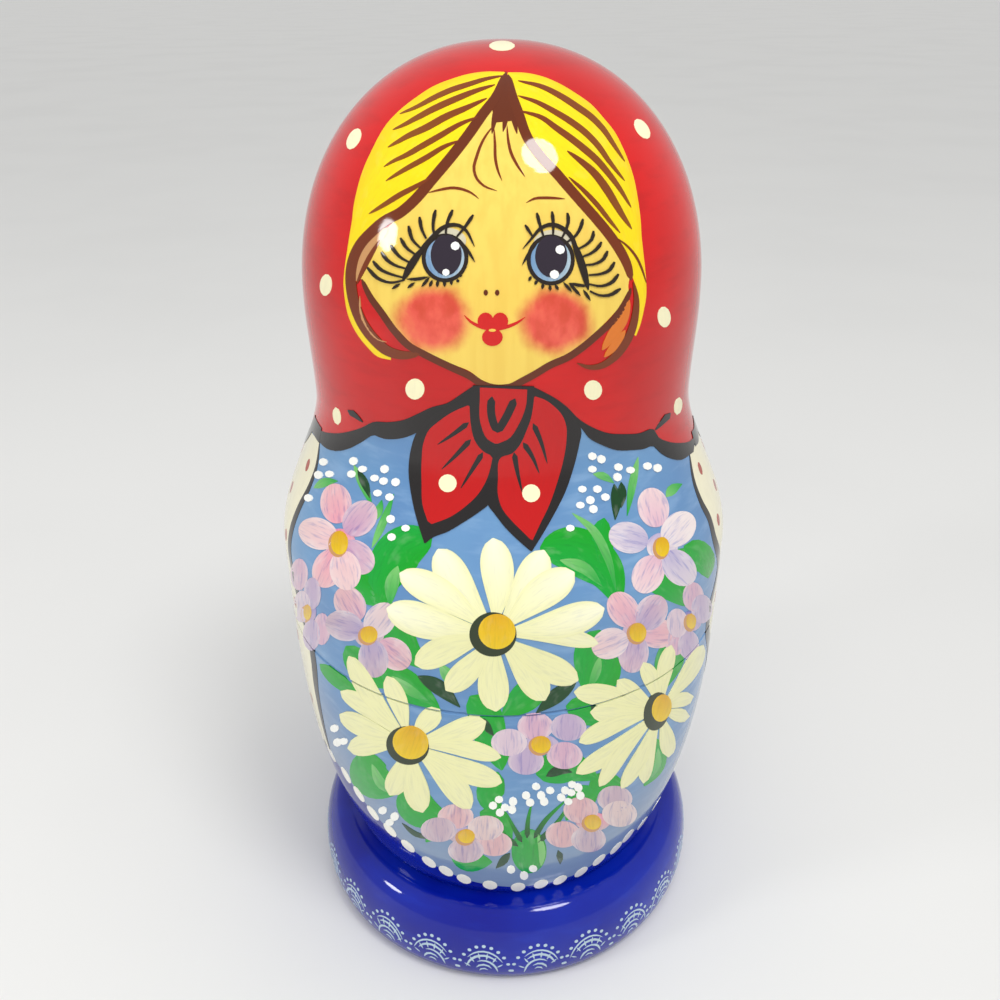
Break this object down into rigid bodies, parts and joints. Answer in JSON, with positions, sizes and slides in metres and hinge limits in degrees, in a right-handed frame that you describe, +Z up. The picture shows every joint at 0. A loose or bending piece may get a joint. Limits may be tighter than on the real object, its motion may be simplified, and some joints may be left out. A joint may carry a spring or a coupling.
{
  "type": "nesting doll set",
  "caption": "Painted wooden matryoshka on a round plinth; hollow dolls pull apart at a turned rim and stand one inside the next, down to a solid little one.",
  "frame": {"origin": "middle of the plinth's flat underside", "axes": "+Z up along the turning axis, -Y towards the painted face, +X to the right as seen from the front"},
  "size_m": [0.0844, 0.0844, 0.17],
  "materials": {
    "linden": "bare turned linden, satin",
    "red_top": "painted and glossy lacquered linden",
    "blue_base": "painted and glossy lacquered linden",
    "painted_doll": "painted and glossy lacquered linden"
  },
  "bodies": {
    "outer_base": {"outer_base": "blue_base"},
    "second_base": {"second_base": "blue_base"},
    "third_base": {"third_base": "blue_base"},
    "fourth_base": {"fourth_base": "blue_base"},
    "smallest_doll": {"smallest_doll": "painted_doll"},
    "fourth_top": {"fourth_top": "red_top"},
    "third_top": {"third_top": "red_top"},
    "second_top": {"second_top": "red_top"},
    "outer_top": {"outer_top": "red_top"}
  },
  "joints": [
    {"name": "second_base_lift", "type": "slide", "parent": "outer_base", "child": "second_base", "axis": [0, 0, 1], "range_m": [0, 0.07]},
    {"name": "third_base_lift", "type": "slide", "parent": "second_base", "child": "third_base", "axis": [0, 0, 1], "range_m": [0, 0.05]},
    {"name": "fourth_base_lift", "type": "slide", "parent": "third_base", "child": "fourth_base", "axis": [0, 0, 1], "range_m": [0, 0.04]},
    {"name": "smallest_doll_lift", "type": "slide", "parent": "fourth_base", "child": "smallest_doll", "axis": [0, 0, 1], "range_m": [0, 0.03]},
    {"name": "fourth_top_lift", "type": "slide", "parent": "smallest_doll", "child": "fourth_top", "axis": [0, 0, 1], "range_m": [0, 0.04]},
    {"name": "third_top_lift", "type": "slide", "parent": "fourth_top", "child": "third_top", "axis": [0, 0, 1], "range_m": [0, 0.05]},
    {"name": "second_top_lift", "type": "slide", "parent": "third_top", "child": "second_top", "axis": [0, 0, 1], "range_m": [0, 0.065]},
    {"name": "outer_top_lift", "type": "slide", "parent": "second_top", "child": "outer_top", "axis": [0, 0, 1], "range_m": [0, 0.075]}
  ]
}
